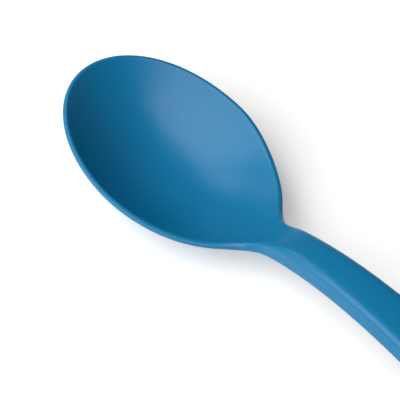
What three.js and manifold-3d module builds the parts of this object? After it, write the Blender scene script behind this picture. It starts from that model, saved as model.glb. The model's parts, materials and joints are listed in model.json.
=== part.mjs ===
// A moulded plastic camp spoon, lying on a table with its bowl open upwards.
// Millimetres, +Z up. The origin is the centre of the flat under the bowl, on the table.
// The tip of the bowl points along -X and the handle runs along +X.

import * as THREE from "three";
import { mergeVertices } from "three/addons/utils/BufferGeometryUtils.js";
import Module from "manifold-3d";

// Bowl, seen from above
const BOWL_WIDTH = 43;
const BOWL_FRONT = 31.6; // from the widest section to the tip
const BOWL_BACK = 32.6; // from the widest section to the heel
const TIP_FULLNESS = 2.06; // 2 is an ellipse, more is blunter
const HEEL_EASE = 0.48; // less draws the heel in harder towards the neck

// Bowl, seen from the side
const BOWL_DEPTH = 11; // inside, below the rim at the widest section
const BOWL_WALL = 2;
const DISH_FULLNESS = 2.2; // 2 is a parabola, more is flatter at the bottom
const TIP_RISE = 4.5; // the tip stands this much above the rim at the widest section
const HEEL_DROP = 2.5; // the rim sags this much towards the heel
const HEEL_SAG_RUN = 29.5; // from the widest section to the lowest point of the rim
const REST_FLAT_DEPTH = 0.25; // the round bottom, and the handle's end, are cut flat this deep

// Rim: a narrow, nearly level land between the lip and a thin outer edge, with rounded corners
const RIM_LAND = 1.15;
const RIM_FALL = 0.1;
const RIM_EDGE = 0.9;
const RIM_ROUND = 0.4;
const LIP_ROUND = 0.9;

// Handle: along the neck the land turns down and becomes the leaning sides
const SIDE_LEAN = 0.7; // the foot of a side stands out this far from its ridge
const SIDE_FALL = 3.75;
const SIDE_EDGE = 0.52;
const RIDGE_ROUND = 2;
const EDGE_ROUND = 0.25;
const SKIRT_START = 20.7; // from the widest section to where the land starts to turn down
const SKIRT_RUN = 21.2; // from there to the full sides
const SKIRT_DELAY = 1.8; // more keeps the land narrow for longer
const NECK_WIDTH = 9.6;
const NECK_LENGTH = 8.75; // from the heel to the narrowest section
const NECK_FILLET = 5.6; // reach of the blend between bowl and handle, seen from above
const NECK_RISE = 3.8; // the handle's ridge at the neck, above the rim
const HEEL_BLEND = 5; // reach of the blend between bowl floor and handle top
const HANDLE_CROWN = 0.3;
const CREST_RISE = 7.3; // the handle's highest point, above the rim
const CREST_RUN = 38.6; // from the neck to the crest
const HANDLE_RUN = 65.4; // from the crest to the end
const END_WIDTH = 15;
const FLARE_POWER = 1.05; // more keeps the handle slim for longer

// Pockets moulded into the underside of the handle, and the hole to hang it by
const POCKET_COUNT = 5;
const POCKET_RIB = 1.4;
const POCKET_START = 9; // from the neck
const SKIRT_WALL = 1.9;
const TOP_WALL = 2.2;
const POCKET_DRAFT = 0.5;
const HOLE_WIDTH = 6;
const HOLE_LENGTH = 11;
const HOLE_MARGIN = 4.5; // from the hole to the end, and to the last pocket

// Facets
const TIP_STEPS = 20;
const BOWL_STEPS = 22;
const HANDLE_STEPS = 26;
const END_STEPS = 10;
const POCKET_STEPS = 4;
const SURFACE_STEPS = 8;
const ROUND_STEPS = 4;
const HOLE_STEPS = 10;
const HALVINGS = 40;
const MERGE_DISTANCE = 1e-4;
const SMALLEST_AREA = 1e-9;

const NECK_X = BOWL_BACK + NECK_LENGTH;
const CREST_X = NECK_X + CREST_RUN;
const END_X = CREST_X + HANDLE_RUN;
const END_RADIUS = END_WIDTH / 2;
const END_HEIGHT = SIDE_FALL + SIDE_EDGE - REST_FLAT_DEPTH;
const RIM_HEIGHT = BOWL_WALL + BOWL_DEPTH;

const { lerp, smoothstep } = THREE.MathUtils;

// The smaller of two values, with the corner between them rounded over the given reach.
const smoothMin = (a, b, reach) => {
  const overlap = Math.max(reach - Math.abs(a - b), 0);
  return Math.min(a, b) - overlap ** 2 / (4 * reach);
};

// Side view: the lip of the bowl runs on as the ridge of the handle, up the neck and over the crest.
const ridgeLine = new THREE.CubicInterpolant(
  [-BOWL_FRONT, 0, HEEL_SAG_RUN, NECK_X, CREST_X, (CREST_X + END_X) / 2, END_X],
  [
    RIM_HEIGHT + TIP_RISE,
    RIM_HEIGHT,
    RIM_HEIGHT - HEEL_DROP,
    RIM_HEIGHT + NECK_RISE,
    RIM_HEIGHT + CREST_RISE,
    (RIM_HEIGHT + CREST_RISE + END_HEIGHT) / 2,
    END_HEIGHT,
  ],
  1,
);
const ridgeHeight = (x) => ridgeLine.evaluate(x)[0];

// 0 along the bowl, 1 along the handle.
const handleShare = (x) => smoothstep(x, SKIRT_START, SKIRT_START + SKIRT_RUN) ** SKIRT_DELAY;

// The band outside the ridge: the land of the rim, turning into the side of the handle.
const bandWidth = (x) => lerp(RIM_LAND, SIDE_LEAN, handleShare(x));
const bandFall = (x) => lerp(RIM_FALL, SIDE_FALL, handleShare(x));
const edgeHeight = (x) => lerp(RIM_EDGE, SIDE_EDGE, handleShare(x));
const ridgeRound = (x) => lerp(LIP_ROUND, RIDGE_ROUND, handleShare(x));
const edgeRound = (x) => lerp(RIM_ROUND, EDGE_ROUND, handleShare(x));
const lowHeight = (x) => ridgeHeight(x) - bandFall(x) - edgeHeight(x);

// Lowest line of the top surface: the bowl's floor climbs the heel into the crown of the handle.
const topSpine = (x) => {
  const bowlFloor = BOWL_WALL + BOWL_DEPTH * (Math.max(x, 0) / BOWL_BACK) ** 2;
  return smoothMin(bowlFloor, ridgeHeight(x) + HANDLE_CROWN, HEEL_BLEND);
};
const underSpine = (x) => {
  const bowlUnderside = topSpine(x) - BOWL_WALL - REST_FLAT_DEPTH * (1 - handleShare(x));
  return smoothMin(bowlUnderside, lowHeight(x), BOWL_WALL);
};

// Plan view: the egg of the bowl and the flaring stem of the handle.
const tipWidth = (x) => {
  const left = Math.max(1 - (-x / BOWL_FRONT) ** TIP_FULLNESS, 0);
  return (BOWL_WIDTH / 2) * Math.sqrt(left);
};
const stemWidth = (x) => {
  const along = Math.max(x - NECK_X, 0) / (END_X - END_RADIUS - NECK_X);
  return lerp(NECK_WIDTH, END_WIDTH, along ** FLARE_POWER) / 2;
};

// How far a point lies outside the heel of the egg, to first order.
function heelDistance(x, y) {
  const half = BOWL_WIDTH / 2;
  const share = x / BOWL_BACK;
  const pull = Math.hypot(share, HEEL_EASE);
  const fullPull = Math.hypot(1, HEEL_EASE) - HEEL_EASE;
  const value = (pull - HEEL_EASE) / fullPull + (y / half) ** 2 - 1;
  return value / Math.hypot(share / pull / fullPull / BOWL_BACK, (2 * y) / half ** 2);
}

// The outline is where the blended distance from heel and stem is nothing, which fillets their corner.
function halfWidth(x) {
  let [inside, outside] = [0, BOWL_WIDTH];
  for (let i = 0; i < HALVINGS; i++) {
    const y = (inside + outside) / 2;
    const isInside = smoothMin(heelDistance(x, y), y - stemWidth(x), NECK_FILLET) < 0;
    [inside, outside] = isInside ? [y, outside] : [inside, y];
  }
  return inside;
}

// Outline points on the +Y side, each with the point on the spine that its rib grows from.
function bowlOutline() {
  const ribs = [];
  for (let i = 0; i < BOWL_STEPS; i++) {
    const x = lerp(NECK_X, 0, i / BOWL_STEPS);
    ribs.push({ root: x, x, y: halfWidth(x) });
  }
  for (let i = 0; i <= TIP_STEPS; i++) {
    const angle = (Math.PI / 2) * (i / TIP_STEPS);
    const x = -BOWL_FRONT * Math.sin(angle) ** (2 / TIP_FULLNESS);
    ribs.push({ root: 0, x, y: i < TIP_STEPS ? tipWidth(x) : 0 });
  }
  return ribs;
}

function handleOutline() {
  const ribs = [];
  const centre = END_X - END_RADIUS;
  for (let i = 0; i < HANDLE_STEPS; i++) {
    const x = lerp(NECK_X, centre, i / HANDLE_STEPS);
    ribs.push({ root: x, x, y: halfWidth(x) });
  }
  for (let i = 0; i <= END_STEPS; i++) {
    const angle = (Math.PI / 2) * (i / END_STEPS);
    const y = i < END_STEPS ? END_RADIUS * Math.cos(angle) : 0;
    ribs.push({ root: centre, x: centre + END_RADIUS * Math.sin(angle), y });
  }
  return ribs;
}

// How squarely each rib meets the outline, so that the rim keeps its width where ribs slant to it.
function squareness(ribs, i) {
  const rib = ribs[i];
  const before = ribs[Math.max(i - 1, 0)];
  const after = ribs[i + 1] ?? { x: before.x, y: -before.y };
  const along = new THREE.Vector2(after.x - before.x, after.y - before.y).normalize();
  const outward = new THREE.Vector2(rib.x - rib.root, rib.y).normalize();
  return Math.abs(along.cross(outward));
}

// One rib runs from the top of the spine over the ridge, down the band and back underneath.
function ribPoints({ root, x, y }, square) {
  const reach = Math.hypot(x - root, y);
  const lip = new THREE.Vector2(reach - bandWidth(x) / square, ridgeHeight(x));
  const foot = new THREE.Vector2(reach, lip.y - bandFall(x));
  const low = new THREE.Vector2(reach, lowHeight(x));
  const bandLength = Math.hypot(bandWidth(x), bandFall(x));
  const dishEnd = lip.x - ridgeRound(x) / square;
  const bellyEnd = reach - edgeRound(x) / square;
  const dish = (distance) => lerp(topSpine(root), lip.y, (distance / lip.x) ** DISH_FULLNESS);
  const belly = (distance) => lerp(underSpine(root), low.y, (distance / reach) ** DISH_FULLNESS);
  const points = [];
  const add = (distance, z) => {
    const share = distance / reach;
    points.push(new THREE.Vector3(lerp(root, x, share), y * share, Math.max(z, 0)));
  };
  const addCorner = (from, corner, to) => {
    const curve = new THREE.QuadraticBezierCurve(from, corner, to);
    curve.getPoints(ROUND_STEPS).forEach((point) => add(point.x, point.y));
  };
  for (let i = 0; i < SURFACE_STEPS; i++) {
    const distance = dishEnd * (i / SURFACE_STEPS);
    add(distance, dish(distance));
  }
  const bandStart = lip.clone().lerp(foot, ridgeRound(x) / 2 / bandLength);
  const bandEnd = foot.clone().lerp(lip, edgeRound(x) / bandLength);
  const footLower = new THREE.Vector2(reach, foot.y - edgeRound(x));
  const lowUpper = new THREE.Vector2(reach, low.y + edgeRound(x));
  addCorner(new THREE.Vector2(dishEnd, dish(dishEnd)), lip, bandStart);
  addCorner(bandEnd, foot, footLower);
  addCorner(lowUpper, low, new THREE.Vector2(bellyEnd, belly(bellyEnd)));
  for (let i = SURFACE_STEPS - 1; i >= 0; i--) {
    const distance = bellyEnd * (i / SURFACE_STEPS);
    add(distance, belly(distance));
  }
  return points;
}

// Skins the ribs of one side and their mirror images, and closes the neck with a flat cap.
function loft(ribs, facesTip) {
  const side = ribs.map((rib, i) => ribPoints(rib, squareness(ribs, i)));
  const mirror = ({ x, y, z }) => new THREE.Vector3(x, -y, z);
  const otherSide = side.slice(0, -1).map((points) => points.map(mirror));
  const skin = [...side, ...otherSide.reverse()];
  const triangles = [];
  const addTriangle = (a, b, c) => {
    const area = b.clone().sub(a).cross(c.clone().sub(a)).length();
    if (area > SMALLEST_AREA) triangles.push(...(facesTip ? [a, b, c] : [a, c, b]));
  };
  for (let i = 0; i + 1 < skin.length; i++) {
    for (let k = 0; k + 1 < skin[i].length; k++) {
      const [a, b, c, d] = [skin[i][k], skin[i + 1][k], skin[i + 1][k + 1], skin[i][k + 1]];
      addTriangle(a, c, b);
      addTriangle(a, d, c);
    }
  }
  const section = [...skin.at(-1), ...skin[0].slice(1, -1).reverse()];
  const middle = new THREE.Vector3(NECK_X, 0, (section[0].z + skin[0].at(-1).z) / 2);
  section.forEach((point, i) => addTriangle(middle, point, section[(i + 1) % section.length]));
  return mergeVertices(new THREE.BufferGeometry().setFromPoints(triangles), MERGE_DISTANCE);
}

// The space left by one pocket: it follows the sides and top of the handle and opens downwards.
function pocketGeometry(start, end) {
  const rings = [];
  for (let i = 0; i <= POCKET_STEPS; i++) {
    const x = lerp(start, end, i / POCKET_STEPS);
    const wide = halfWidth(x) - SKIRT_WALL;
    const roof = ridgeHeight(x) - TOP_WALL;
    const mouth = lowHeight(x) - POCKET_DRAFT;
    rings.push([
      new THREE.Vector3(x, -wide, mouth),
      new THREE.Vector3(x, wide, mouth),
      new THREE.Vector3(x, wide - POCKET_DRAFT, roof),
      new THREE.Vector3(x, POCKET_DRAFT - wide, roof),
    ]);
  }
  const triangles = [];
  for (let i = 0; i < POCKET_STEPS; i++) {
    for (let k = 0; k < 4; k++) {
      const next = (k + 1) % 4;
      const [a, b, c, d] = [rings[i][k], rings[i][next], rings[i + 1][next], rings[i + 1][k]];
      triangles.push(a, b, c, a, c, d);
    }
  }
  const [first, last] = [rings[0], rings.at(-1)];
  triangles.push(first[0], first[2], first[1], first[0], first[3], first[2]);
  triangles.push(last[0], last[1], last[2], last[0], last[2], last[3]);
  return mergeVertices(new THREE.BufferGeometry().setFromPoints(triangles), MERGE_DISTANCE);
}

function holeGeometry() {
  const radius = HOLE_WIDTH / 2;
  const far = END_X - HOLE_MARGIN - radius;
  const near = END_X - HOLE_MARGIN - HOLE_LENGTH + radius;
  const outline = new THREE.Shape();
  outline.absarc(far, 0, radius, -Math.PI / 2, Math.PI / 2);
  outline.absarc(near, 0, radius, Math.PI / 2, (3 * Math.PI) / 2);
  const depth = RIM_HEIGHT + CREST_RISE;
  const options = { depth, bevelEnabled: false, curveSegments: HOLE_STEPS };
  const geometry = new THREE.ExtrudeGeometry(outline, options);
  geometry.translate(0, 0, -depth / 2);
  geometry.deleteAttribute("normal");
  geometry.deleteAttribute("uv");
  return mergeVertices(geometry, MERGE_DISTANCE);
}

const wasm = await Module();
wasm.setup();

function solidFrom(geometry) {
  const vertProperties = new Float32Array(geometry.attributes.position.array);
  const triVerts = new Uint32Array(geometry.index.array);
  return new wasm.Manifold(new wasm.Mesh({ numProp: 3, vertProperties, triVerts }));
}

function geometryFrom(solid) {
  const { vertProperties, triVerts } = solid.getMesh();
  const geometry = new THREE.BufferGeometry();
  geometry.setAttribute("position", new THREE.BufferAttribute(vertProperties, 3));
  geometry.setIndex(new THREE.BufferAttribute(triVerts, 1));
  return geometry;
}

function handleGeometry() {
  let solid = solidFrom(loft(handleOutline(), false));
  const first = NECK_X + POCKET_START;
  const last = END_X - HOLE_MARGIN - HOLE_LENGTH - HOLE_MARGIN;
  const pitch = (last - first + POCKET_RIB) / POCKET_COUNT;
  for (let i = 0; i < POCKET_COUNT; i++) {
    const start = first + i * pitch;
    solid = solid.subtract(solidFrom(pocketGeometry(start, start + pitch - POCKET_RIB)));
  }
  return geometryFrom(solid.subtract(solidFrom(holeGeometry())));
}

function bluePlastic() {
  return new THREE.MeshStandardMaterial({ color: 0x2277a6, roughness: 0.55, metalness: 0 });
}

function namedMesh(name, geometry) {
  geometry.computeVertexNormals();
  const mesh = new THREE.Mesh(geometry, bluePlastic());
  mesh.name = name;
  return mesh;
}

const spoon = new THREE.Group();
spoon.name = "camp_spoon";
spoon.add(namedMesh("bowl", loft(bowlOutline(), true)));
spoon.add(namedMesh("handle", handleGeometry()));

export default spoon;
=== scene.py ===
# %% [markdown]
# # A moulded camp spoon
# The spoon is one piece of matt blue plastic: an egg-shaped bowl that runs through a narrow neck
# into an arched handle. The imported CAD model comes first, because it fixes where everything is.
# Its box is kept, so that the finished spoon can be measured against it. Lengths are in metres,
# written as millimetres times MM.

# %% Load the frame
import json
import math

import bmesh
import bpy
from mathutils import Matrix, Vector

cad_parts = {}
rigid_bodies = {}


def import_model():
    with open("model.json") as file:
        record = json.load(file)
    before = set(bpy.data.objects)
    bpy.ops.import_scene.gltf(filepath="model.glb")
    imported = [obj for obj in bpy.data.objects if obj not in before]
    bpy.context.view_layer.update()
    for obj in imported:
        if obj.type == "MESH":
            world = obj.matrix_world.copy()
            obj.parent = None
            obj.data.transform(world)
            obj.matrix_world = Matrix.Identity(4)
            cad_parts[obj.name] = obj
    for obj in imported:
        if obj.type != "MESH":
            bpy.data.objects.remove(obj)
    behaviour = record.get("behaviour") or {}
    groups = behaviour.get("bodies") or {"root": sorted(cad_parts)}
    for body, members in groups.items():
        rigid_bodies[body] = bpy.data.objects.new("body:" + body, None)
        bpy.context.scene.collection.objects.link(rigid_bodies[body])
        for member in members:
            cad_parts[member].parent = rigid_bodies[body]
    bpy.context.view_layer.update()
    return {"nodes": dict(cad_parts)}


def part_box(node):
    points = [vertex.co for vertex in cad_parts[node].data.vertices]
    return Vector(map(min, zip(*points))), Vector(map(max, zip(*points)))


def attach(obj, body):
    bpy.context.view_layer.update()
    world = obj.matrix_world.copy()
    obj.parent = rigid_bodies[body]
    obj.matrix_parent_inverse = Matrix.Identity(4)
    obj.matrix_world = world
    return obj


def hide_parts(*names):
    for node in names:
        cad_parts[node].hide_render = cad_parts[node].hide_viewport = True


MM = 0.001

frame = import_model()
print(len(frame["nodes"]), "CAD nodes")

# %% [markdown]
# ## The camera
# The spoon was photographed with a long lens from the side of the handle, about half-way between
# level and overhead. A long lens keeps the near handle and the far rim at nearly the same scale.
# The camera is placed by two angles and a distance from the origin, which is under the bowl. It
# then looks at a point a little beside the origin, so that the bowl falls left of the centre.

# %% Camera
CAMERA_AZIMUTH = math.radians(49.48)
CAMERA_ELEVATION = math.radians(49.35)
CAMERA_DISTANCE = 480 * MM
CAMERA_LENS = 177.7  # in mm, on a sensor 36 mm wide
AIM_RIGHT = 6.32 * MM
AIM_UP = -3.88 * MM


def direction(azimuth, elevation):
    """Points from the origin: azimuth 0 is the side of -Y, and it turns towards +X."""
    level = math.cos(elevation)
    return Vector((math.sin(azimuth) * level, -math.cos(azimuth) * level, math.sin(elevation)))


def look_at(thing, target):
    thing.rotation_euler = (target - thing.location).to_track_quat("-Z", "Y").to_euler()


to_camera = direction(CAMERA_AZIMUTH, CAMERA_ELEVATION)
picture_right = Vector((math.cos(CAMERA_AZIMUTH), math.sin(CAMERA_AZIMUTH), 0))
picture_up = to_camera.cross(picture_right)
aim = picture_right * AIM_RIGHT + picture_up * AIM_UP

bpy.ops.object.camera_add(location=to_camera * CAMERA_DISTANCE)
camera = bpy.context.object
camera.data.lens = CAMERA_LENS
look_at(camera, aim)
bpy.context.scene.camera = camera
print("camera at", [round(c, 3) for c in camera.location])

# %% [markdown]
# ## The sizes of the spoon
# The overall sizes are read from the CAD nodes, so that the shown spoon can't drift away from
# them. The rest are the sizes a mould maker would name: the wall, the rim, the neck, the crest of
# the handle.

# %% Sizes
bowl_low, bowl_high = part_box("bowl")
_, handle_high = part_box("handle")

BOWL_WIDTH = bowl_high.y - bowl_low.y
BOWL_FRONT = -bowl_low.x
NECK_X = bowl_high.x
NECK_LENGTH = 8.75 * MM
BOWL_BACK = NECK_X - NECK_LENGTH
BOWL_DEPTH = 11 * MM
BOWL_WALL = 2 * MM
RIM_HEIGHT = BOWL_DEPTH + BOWL_WALL
CREST_RUN = 38.6 * MM
CREST_X = NECK_X + CREST_RUN
END_X = handle_high.x
END_WIDTH = 15 * MM
END_CENTRE = END_X - END_WIDTH / 2
print(f"bowl {BOWL_WIDTH / MM:.1f} mm wide, neck at {NECK_X / MM:.1f} mm, end at {END_X / MM:.1f} mm")

# %% [markdown]
# ## The lines of the side view
# A spoon is drawn with a few lines. In the side view there is the ridge, which is the lip of the
# bowl and then the upper edge of the handle: it sags at the heel, climbs the neck and falls away
# over the crest. The keel is the lowest line of the bowl, and it climbs the heel to meet the
# ridge. Each line is a small function. Where two of them meet, a soft minimum rounds the corner.

# %% Ridge
TIP_RISE = 4.5 * MM
HEEL_DROP = 2.5 * MM
HEEL_SAG_X = 29.5 * MM
NECK_RISE = 3.8 * MM
CREST_RISE = 7.3 * MM
SIDE_FALL = 3.75 * MM
SIDE_EDGE = 0.52 * MM
REST_FLAT_DEPTH = 0.25 * MM
END_HEIGHT = SIDE_FALL + SIDE_EDGE - REST_FLAT_DEPTH

ridge_knots = [
    (-BOWL_FRONT, RIM_HEIGHT + TIP_RISE),
    (0, RIM_HEIGHT),
    (HEEL_SAG_X, RIM_HEIGHT - HEEL_DROP),
    (NECK_X, RIM_HEIGHT + NECK_RISE),
    (CREST_X, RIM_HEIGHT + CREST_RISE),
    ((CREST_X + END_X) / 2, (RIM_HEIGHT + CREST_RISE + END_HEIGHT) / 2),
    (END_X, END_HEIGHT),
]
LAST_SPAN = len(ridge_knots) - 2


def mix(a, b, share):
    return a + (b - a) * share


def span_slope(i):
    (x0, z0), (x1, z1) = ridge_knots[i], ridge_knots[i + 1]
    return (z1 - z0) / (x1 - x0)


def knot_slope(i):
    return (span_slope(max(i - 1, 0)) + span_slope(min(i, LAST_SPAN))) / 2


def ridge_height(x):
    """A smooth curve through the knots, with the mean of the two spans' slopes at each knot."""
    i = max(k for k in range(LAST_SPAN + 1) if k == 0 or ridge_knots[k][0] <= x)
    (x0, z0), (x1, z1) = ridge_knots[i], ridge_knots[i + 1]
    t = (x - x0) / (x1 - x0)
    bend_0 = knot_slope(i) * (x1 - x0) - (z1 - z0)
    bend_1 = (z1 - z0) - knot_slope(i + 1) * (x1 - x0)
    return mix(z0, z1, t) + t * (1 - t) * mix(bend_0, bend_1, t)


print("ridge, mm:", [round(ridge_height(x) / MM, 1) for x, _ in ridge_knots])

# %% [markdown]
# ## From rim to handle
# The rim of the bowl is a narrow, nearly level land between the lip and a thin outer edge. Along
# the neck this land turns down and widens until it is the leaning side of the handle. So one band
# runs right round the spoon, and only its width and its fall change along the way.

# %% Band outside the ridge, and the keel
RIM_LAND = 1.05 * MM
RIM_FALL = 0.15 * MM
RIM_EDGE = 1.1 * MM
SIDE_LEAN = 0.7 * MM
SKIRT_START = 20.7 * MM
SKIRT_END = 41.9 * MM
SKIRT_DELAY = 1.8
HANDLE_CROWN = 0.3 * MM
HEEL_BLEND = 5 * MM


def handle_share(x):
    """0 along the bowl, 1 along the handle."""
    share = min(max((x - SKIRT_START) / (SKIRT_END - SKIRT_START), 0), 1)
    return (share * share * (3 - 2 * share)) ** SKIRT_DELAY


def band_width(x):
    return mix(RIM_LAND, SIDE_LEAN, handle_share(x))


def band_fall(x):
    return mix(RIM_FALL, SIDE_FALL, handle_share(x))


def low_height(x):
    return ridge_height(x) - band_fall(x) - mix(RIM_EDGE, SIDE_EDGE, handle_share(x))


def soft_min(a, b, reach):
    return min(a, b) - max(reach - abs(a - b), 0) ** 2 / (4 * reach)


def top_keel(x):
    floor = BOWL_WALL + BOWL_DEPTH * (max(x, 0) / BOWL_BACK) ** 2
    return soft_min(floor, ridge_height(x) + HANDLE_CROWN, HEEL_BLEND)


def under_keel(x):
    underside = top_keel(x) - BOWL_WALL - REST_FLAT_DEPTH * (1 - handle_share(x))
    return soft_min(underside, low_height(x), BOWL_WALL)


print("keel at the neck, mm:", round(under_keel(NECK_X) / MM, 1), round(top_keel(NECK_X) / MM, 1))

# %% [markdown]
# ## The outline seen from above
# The tip of the bowl is a blunt half ellipse, and the heel is drawn in like the small end of an
# egg. The handle is a slim stem that flares to its end. To fillet the corner between heel and
# stem, the distances of a point from both are blended, and the outline is where the blend is
# nothing. Halving an interval again and again finds that place.

# %% Outline
TIP_FULLNESS = 2.06
HEEL_EASE = 0.48
NECK_WIDTH = 9.6 * MM
NECK_FILLET = 5.6 * MM
FLARE_POWER = 1.05
HALVINGS = 40


def tip_width(x):
    return BOWL_WIDTH / 2 * math.sqrt(max(1 - (-x / BOWL_FRONT) ** TIP_FULLNESS, 0))


def stem_width(x):
    along = max(x - NECK_X, 0) / (END_CENTRE - NECK_X)
    return mix(NECK_WIDTH, END_WIDTH, along**FLARE_POWER) / 2


def heel_distance(x, y):
    half = BOWL_WIDTH / 2
    share = x / BOWL_BACK
    pull = math.hypot(share, HEEL_EASE)
    full_pull = math.hypot(1, HEEL_EASE) - HEEL_EASE
    value = (pull - HEEL_EASE) / full_pull + (y / half) ** 2 - 1
    return value / math.hypot(share / pull / full_pull / BOWL_BACK, 2 * y / half**2)


def half_width(x):
    inside, outside = 0, BOWL_WIDTH
    for _ in range(HALVINGS):
        y = (inside + outside) / 2
        if soft_min(heel_distance(x, y), y - stem_width(x), NECK_FILLET) < 0:
            inside = y
        else:
            outside = y
    return inside


print("half widths, mm:", [round(half_width(x * MM) / MM, 1) for x in range(0, 140, 20)])

# %% [markdown]
# ## Ribs
# The skin of the spoon is laid over ribs, as on a boat. Each rib starts on the keel and runs out
# to a point of the outline. Along the handle the ribs are square to the keel. Round the tip of the
# bowl, and round the end of the handle, they fan out from one point. The stations along the handle
# are chosen so that a rib falls on both ends of every pocket of the underside and round the hang
# hole, and these can then be made from whole faces.

# %% Ribs of one side, from the tip to the end of the handle
POCKET_COUNT = 5
POCKET_RIB = 1.4 * MM
HOLE_RADIUS = 3 * MM
HOLE_SLOT = 5 * MM
HOLE_ROUND = 0.5 * MM
HOLE_FAR = END_CENTRE
HOLE_NEAR = HOLE_FAR - HOLE_SLOT
HOLE_START = HOLE_NEAR - HOLE_RADIUS
NECK_LAND = 9 * MM  # solid stretch before the first pocket
HOLE_LAND = 4.5 * MM  # solid stretch before the hang hole
POCKETS_START = NECK_X + NECK_LAND
POCKETS_END = HOLE_START - HOLE_LAND
TIP_RIBS = 44
BOWL_STATIONS = 44
NECK_STATIONS = 8
POCKET_STATIONS = 10
LAND_STATIONS = 4
HOLE_STATIONS = 8
END_RIBS = 16


def steps(start, end, count):
    return [mix(start, end, i / count) for i in range(count)]


pocket_pitch = (POCKETS_END - POCKETS_START + POCKET_RIB) / POCKET_COUNT
pockets = [
    (POCKETS_START + i * pocket_pitch, POCKETS_START + (i + 1) * pocket_pitch - POCKET_RIB)
    for i in range(POCKET_COUNT)
]
stations = steps(0, NECK_X, BOWL_STATIONS) + steps(NECK_X, POCKETS_START, NECK_STATIONS)
for start, end in pockets:
    stations += steps(start, end, POCKET_STATIONS) + [end]
quarter_turn = steps(0, math.pi / 2, HOLE_STATIONS)
stations += steps(POCKETS_END, HOLE_START - HOLE_ROUND, LAND_STATIONS)[1:]
stations += [HOLE_START - HOLE_ROUND * (1 - math.sin(turn)) for turn in quarter_turn]
stations += [HOLE_NEAR - HOLE_RADIUS * math.cos(turn) for turn in quarter_turn]
stations += steps(HOLE_NEAR, HOLE_FAR, HOLE_STATIONS)

ribs = []  # each one is (x of its start on the keel, x and y of its end on the outline)
for i in range(TIP_RIBS):
    turn = math.pi / 2 * (1 - i / TIP_RIBS)
    x = -BOWL_FRONT * math.sin(turn) ** (2 / TIP_FULLNESS)
    ribs.append((0, x, tip_width(x) if i else 0))
ribs += [(x, x, half_width(x)) for x in stations]
for i in range(END_RIBS + 1):
    turn = math.pi / 2 * i / END_RIBS
    y = END_WIDTH / 2 * math.cos(turn) if i < END_RIBS else 0
    ribs.append((END_CENTRE, END_CENTRE + END_WIDTH / 2 * math.sin(turn), y))
print(len(ribs), "ribs on one side")

# %% [markdown]
# ## The section along a rib
# Starting on the keel, a rib climbs the dish of the bowl, turns over the rounded lip, runs down
# the band, rounds both corners of the thin outer edge and comes back underneath. Every rib has the
# same number of points, whatever its length, so the same rings of points run right round the
# spoon. On the handle the dish fades into a slightly crowned top. Close to the hang hole both
# skins dip towards each other along a quarter of a circle, and the points crowd together there.

# %% Points along a rib
RIM_ROUND = 0.5 * MM
LIP_ROUND = 0.5 * MM
RIDGE_ROUND = 2 * MM
EDGE_ROUND = 0.25 * MM
SKIRT_WALL = 1.9 * MM
DISH_FULLNESS = 2.2
HOLE_CROWDING = 1.6
DISH_RINGS = 24
BAND_RINGS = 3
ROUND_RINGS = 8
UNDER_RINGS = 16


def hole_edge(root):
    """Distance along a rib at which the hang hole lets it start."""
    if root < HOLE_NEAR:
        return math.sqrt(max(HOLE_RADIUS**2 - (root - HOLE_NEAR) ** 2, 0))
    return HOLE_RADIUS


def hole_dip(x, y):
    """How far the skin has turned into the hang hole."""
    beyond = math.hypot(x - min(max(x, HOLE_NEAR), HOLE_FAR), y) - HOLE_RADIUS
    short = min(max(HOLE_ROUND - beyond, 0), HOLE_ROUND)
    return HOLE_ROUND - math.sqrt(HOLE_ROUND**2 - short**2)


def squareness(i):
    """How squarely a rib meets the outline: 1 where it is at right angles to it."""
    root, x, y = ribs[i]
    _, x0, y0 = ribs[i - 1] if i else (0, ribs[1][1], -ribs[1][2])
    _, x1, y1 = ribs[i + 1] if i + 1 < len(ribs) else (0, ribs[-2][1], -ribs[-2][2])
    along = Vector((x1 - x0, y1 - y0)).normalized()
    outward = Vector((x - root, y)).normalized()
    return abs(along.x * outward.y - along.y * outward.x)


def rounded(start, corner, end):
    """A curve that leaves start towards the corner and arrives at end from it."""
    shares = steps(0, 1, ROUND_RINGS) + [1]
    return [start.lerp(corner, t).lerp(corner.lerp(end, t), t) for t in shares]


def rib_section(i):
    root, x, y = ribs[i]
    square = squareness(i)
    reach = math.hypot(x - root, y)
    ridge_round = mix(LIP_ROUND, RIDGE_ROUND, handle_share(x))
    edge_round = mix(RIM_ROUND, EDGE_ROUND, handle_share(x))
    band_length = math.hypot(band_width(x), band_fall(x))
    lip = Vector((reach - band_width(x) / square, ridge_height(x)))
    foot = Vector((reach, lip.y - band_fall(x)))
    low = Vector((reach, low_height(x)))
    inner = hole_edge(root)
    crowding = HOLE_CROWDING if root > HOLE_START - HOLE_ROUND else 1
    dish_end = lip.x - ridge_round / square
    belly_end = reach - edge_round / square
    skirt = reach - SKIRT_WALL / square

    def dip(distance):
        return hole_dip(mix(root, x, distance / reach), y * distance / reach)

    def dish(distance):
        climb = (distance / lip.x) ** DISH_FULLNESS
        return Vector((distance, mix(top_keel(root), lip.y, climb) - dip(distance)))

    def belly(distance):
        climb = (distance / reach) ** DISH_FULLNESS
        return Vector((distance, mix(under_keel(root), low.y, climb) + dip(distance)))

    band_start = lip.lerp(foot, ridge_round / 2 / band_length)
    band_end = foot.lerp(lip, edge_round / band_length)
    edge_top = foot - Vector((0, edge_round))
    edge_foot = low + Vector((0, edge_round))
    profile = [dish(mix(inner, dish_end, t**crowding)) for t in steps(0, 1, DISH_RINGS)]
    profile += rounded(dish(dish_end), lip, band_start)
    profile += [band_start.lerp(band_end, t) for t in steps(0, 1, BAND_RINGS)[1:]]
    profile += rounded(band_end, foot, edge_top)
    profile += rounded(edge_foot, low, belly(belly_end))
    profile += [belly(mix(inner, skirt, t**crowding)) for t in steps(1, 0, UNDER_RINGS) + [0]]
    return [Vector((mix(root, x, p.x / reach), y * p.x / reach, max(p.y, 0))) for p in profile]


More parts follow.
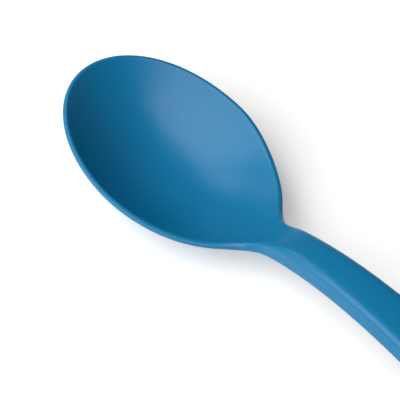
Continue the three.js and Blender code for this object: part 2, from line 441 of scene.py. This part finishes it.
side = [rib_section(i) for i in range(len(ribs))]
other_side = [[Vector((p.x, -p.y, p.z)) for p in section] for section in side[-2:0:-1]]
sections = side + other_side
print(len(sections), "ribs all round,", len(side[0]), "points on each")

# %% [markdown]
# ## The skin
# The skin starts as a circle with one vertex for each rib, which is laid on the lip of the rim.
# From there the loop is extruded, ring after ring: outwards over the rim and underneath to the
# keel, and then from the lip down into the bowl. Each vertex carries the number of its rib, and
# an extruded vertex inherits it, so each new ring can be put in its place. At the keel the two
# sides meet, and merging by distance welds them.

# %% Lay the first loop on the lip
LIP_RING = DISH_RINGS + ROUND_RINGS
WELD_DISTANCE = 0.001 * MM


def deselect_all():
    for thing in bpy.context.selected_objects:
        thing.select_set(False)


def place_ring(piece, ring):
    """Puts the selected vertices on one ring of the ribs."""
    mesh = bmesh.from_edit_mesh(piece.data)
    rib_number = mesh.verts.layers.int["rib"]
    for vertex in mesh.verts:
        if vertex.select:
            vertex.co = sections[vertex[rib_number]][ring]
    bmesh.update_edit_mesh(piece.data)


deselect_all()
bpy.ops.mesh.primitive_circle_add(vertices=len(sections), radius=BOWL_WIDTH / 2)
spoon = bpy.context.object
spoon.name = spoon.data.name = "moulded_spoon"
rib_numbers = spoon.data.attributes.new("rib", "INT", "POINT")
rib_numbers.data.foreach_set("value", range(len(sections)))
bpy.ops.object.mode_set(mode="EDIT")
bpy.ops.mesh.select_all(action="SELECT")
place_ring(spoon, LIP_RING)
print("first loop:", len(spoon.data.vertices), "vertices on the lip")

# %% Extrude over the rim and underneath, then down into the bowl
for ring in range(LIP_RING + 1, len(sections[0])):
    bpy.ops.mesh.extrude_edges_move()
    place_ring(spoon, ring)

bpy.ops.mesh.select_all(action="DESELECT")
mesh = bmesh.from_edit_mesh(spoon.data)
mesh.verts.ensure_lookup_table()
for vertex in mesh.verts[: len(sections)]:
    vertex.select = True
mesh.select_flush(True)
bmesh.update_edit_mesh(spoon.data)
for ring in reversed(range(LIP_RING)):
    bpy.ops.mesh.extrude_edges_move()
    place_ring(spoon, ring)

bpy.ops.mesh.select_all(action="SELECT")
bpy.ops.mesh.remove_doubles(threshold=WELD_DISTANCE)
bpy.ops.mesh.normals_make_consistent(inside=False)
print("skin:", len(bmesh.from_edit_mesh(spoon.data).faces), "faces")

# %% [markdown]
# ## The hang hole
# The ribs round the hole stop on its wall, above and below, so two open loops are left. Bridging
# them closes the wall.

# %% Bridge the hole
bpy.ops.mesh.select_mode(type="EDGE")
bpy.ops.mesh.select_all(action="DESELECT")
bpy.ops.mesh.select_non_manifold(extend=False)
bpy.ops.mesh.bridge_edge_loops()
print("hole bridged:", len(bmesh.from_edit_mesh(spoon.data).faces), "faces")

# %% [markdown]
# ## Pockets under the handle
# A thick handle is cored out from below so that the plastic cools evenly and doesn't sink. The
# faces of the underside between two stations and inside the skirt are one pocket's mouth. They
# are extruded upwards, and the new faces are set to follow the top of the handle, a little
# narrower than the mouth, which is the draft that lets the part leave the mould.

# %% Extrude and bevel the pockets
TOP_WALL = 2.2 * MM
POCKET_DRAFT = 0.5 * MM
POCKET_BEVEL = 0.3 * MM
FACING_DOWN = -0.5  # a normal whose z is less than this belongs to the underside


def pocket_width(x):
    """Half the width of a pocket's mouth."""
    return half_width(x) - SKIRT_WALL


def select_mouth(piece, start, end):
    mesh = bmesh.from_edit_mesh(piece.data)
    for face in mesh.faces:
        middle = face.calc_center_median()
        inside = start < middle.x < end and abs(middle.y) < pocket_width(middle.x)
        face.select_set(inside and face.normal.z < FACING_DOWN)
    bmesh.update_edit_mesh(piece.data)


def raise_roof(piece):
    """Lifts the selected vertices to the roof of the pocket, narrowed by the draft."""
    mesh = bmesh.from_edit_mesh(piece.data)
    for vertex in mesh.verts:
        if vertex.select:
            vertex.co.y *= 1 - POCKET_DRAFT / pocket_width(vertex.co.x)
            vertex.co.z = ridge_height(vertex.co.x) - TOP_WALL
    bmesh.update_edit_mesh(piece.data)


for start, end in pockets:
    bpy.ops.mesh.select_mode(type="FACE")
    select_mouth(spoon, start, end)
    bpy.ops.mesh.extrude_region_move()
    raise_roof(spoon)
    bpy.ops.mesh.select_more()
    bpy.ops.mesh.region_to_loop()
    bpy.ops.mesh.bevel(offset=POCKET_BEVEL, segments=2)
bpy.ops.mesh.select_mode(type="VERT")
bpy.ops.mesh.select_all(action="SELECT")
bpy.ops.mesh.normals_make_consistent(inside=False)
bpy.ops.object.mode_set(mode="OBJECT")
spoon.data.attributes.remove(spoon.data.attributes["rib"])
print(len(pockets), "pockets;", len(spoon.data.polygons), "faces")

# %% [markdown]
# ## Smooth shading
# The skin is smooth all over, but the walls of the pockets meet their roofs in corners. Shading by
# angle keeps those crisp and smooths all the rest.

# %% Shade, then tie the spoon to the CAD model
SMOOTH_ANGLE = math.radians(40)

bpy.ops.object.shade_smooth_by_angle(angle=SMOOTH_ANGLE)
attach(spoon, "root")
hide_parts("bowl", "handle")
print("spoon rides on root and stands for bowl and handle")

# %% [markdown]
# ## Blue moulded plastic
# The plastic is coloured all through and comes from a finely etched mould, so it is satin, not
# glossy. Two noises make it look real: a broad, faint one shifts the colour and the sheen, and a
# very fine one is the etched grain, which only tilts the surface a little.

# %% Material of the spoon
BLUE = (0.001, 0.160, 0.340, 1)
BLUE_PALE = (0.002, 0.176, 0.363, 1)

plastic = bpy.data.materials.new("satin_blue_plastic")
plastic.use_nodes = True
nodes, links = plastic.node_tree.nodes, plastic.node_tree.links
surface = nodes["Principled BSDF"]
surface.inputs["IOR"].default_value = 1.46
surface.inputs["Specular IOR Level"].default_value = 0.41

place = nodes.new("ShaderNodeTexCoord")
cloud = nodes.new("ShaderNodeTexNoise")
cloud.inputs["Scale"].default_value = 60
cloud.inputs["Detail"].default_value = 3
links.new(place.outputs["Object"], cloud.inputs["Vector"])

tint = nodes.new("ShaderNodeMix")
tint.data_type = "RGBA"
tint.inputs["A"].default_value = BLUE
tint.inputs["B"].default_value = BLUE_PALE
links.new(cloud.outputs["Fac"], tint.inputs["Factor"])
links.new(tint.outputs["Result"], surface.inputs["Base Color"])

sheen = nodes.new("ShaderNodeMapRange")
sheen.inputs["To Min"].default_value = 0.29
sheen.inputs["To Max"].default_value = 0.36
links.new(cloud.outputs["Fac"], sheen.inputs["Value"])
links.new(sheen.outputs["Result"], surface.inputs["Roughness"])

grain = nodes.new("ShaderNodeTexNoise")
grain.inputs["Scale"].default_value = 2200
grain.inputs["Detail"].default_value = 2
links.new(place.outputs["Object"], grain.inputs["Vector"])
etch = nodes.new("ShaderNodeBump")
etch.inputs["Strength"].default_value = 0.5
etch.inputs["Distance"].default_value = 0.06 * MM
links.new(grain.outputs["Fac"], etch.inputs["Height"])
links.new(etch.outputs["Normal"], surface.inputs["Normal"])

spoon.data.materials.append(plastic)
print("material", plastic.name, "with", len(nodes), "nodes")

# %% [markdown]
# ## Floor and light
# The spoon lies on a plain white table that runs out of the picture. A wide soft box on the left
# of the camera draws the long highlight on the far wall of the bowl and lights the near side of
# the handle. A small box farther round to the left brightens the low end of that highlight, and
# the dim room fills the rest. The foot of the room's wall is white, so that a low view ends in
# white too. Seen straight or mirrored, the table adds a little glow of its own: it is white around
# the spoon and still takes the shadow.

# %% Table
TABLE_SIZE = 4
TABLE_DROP = 0.1 * MM
TABLE_PAINT = (0.81, 0.8, 0.78, 1)
TABLE_GLOW = 0.34

deselect_all()
bpy.ops.mesh.primitive_plane_add(size=TABLE_SIZE, location=(0, 0, -TABLE_DROP))
table = bpy.context.object
table.name = "table"
white = bpy.data.materials.new("white_table")
white.use_nodes = True
nodes, links = white.node_tree.nodes, white.node_tree.links
paint = nodes["Principled BSDF"]
paint.inputs["Base Color"].default_value = TABLE_PAINT
paint.inputs["Roughness"].default_value = 0.9
paint.inputs["Emission Color"].default_value = (1, 1, 1, 1)
ray = nodes.new("ShaderNodeLightPath")
seen = nodes.new("ShaderNodeMath")
seen.operation = "ADD"
seen.use_clamp = True
links.new(ray.outputs["Is Camera Ray"], seen.inputs[0])
mirrored = nodes.new("ShaderNodeMath")
mirrored.operation = "ADD"
links.new(ray.outputs["Is Glossy Ray"], mirrored.inputs[0])
links.new(ray.outputs["Is Transmission Ray"], mirrored.inputs[1])
links.new(mirrored.outputs[0], seen.inputs[1])
glow = nodes.new("ShaderNodeMath")
glow.operation = "MULTIPLY"
glow.inputs[1].default_value = TABLE_GLOW
links.new(seen.outputs[0], glow.inputs[0])
links.new(glow.outputs[0], paint.inputs["Emission Strength"])
table.data.materials.append(white)
print("table", TABLE_SIZE, "m wide")

# %% Room
ROOM_LIGHT = 0.16
WALL_TOP = 0.05

world = bpy.data.worlds.new("white_room")
bpy.context.scene.world = world
world.use_nodes = True
nodes, links = world.node_tree.nodes, world.node_tree.links
room = nodes["Background"]
room.inputs["Color"].default_value = (1, 1, 1, 1)
outward = nodes.new("ShaderNodeTexCoord")
split = nodes.new("ShaderNodeSeparateXYZ")
wall = nodes.new("ShaderNodeMapRange")
wall.inputs["From Max"].default_value = WALL_TOP
wall.inputs["To Min"].default_value = 1
wall.inputs["To Max"].default_value = ROOM_LIGHT
links.new(outward.outputs["Generated"], split.inputs["Vector"])
links.new(split.outputs["Z"], wall.inputs["Value"])
links.new(wall.outputs["Result"], room.inputs["Strength"])
print("room at", ROOM_LIGHT, "above the foot of a white wall")

# %% Soft boxes
BOX_DISTANCE = 1


def add_soft_box(name, azimuth, elevation, width, height, power):
    """A rectangular lamp that faces the spoon. The angles are in degrees."""
    deselect_all()
    place = direction(math.radians(azimuth), math.radians(elevation)) * BOX_DISTANCE
    bpy.ops.object.light_add(type="AREA", location=place)
    box = bpy.context.object
    box.name = name
    box.data.shape = "RECTANGLE"
    box.data.size = width
    box.data.size_y = height
    box.data.energy = power
    look_at(box, Vector((0, 0, 0)))
    print(name, "at", [round(c, 2) for c in place])


add_soft_box("wide_box", azimuth=347, elevation=48, width=1.4, height=1.1, power=15.8)
add_soft_box("small_box", azimuth=272, elevation=42, width=0.35, height=0.35, power=0.9)
bpy.context.scene.view_settings.view_transform = "Standard"
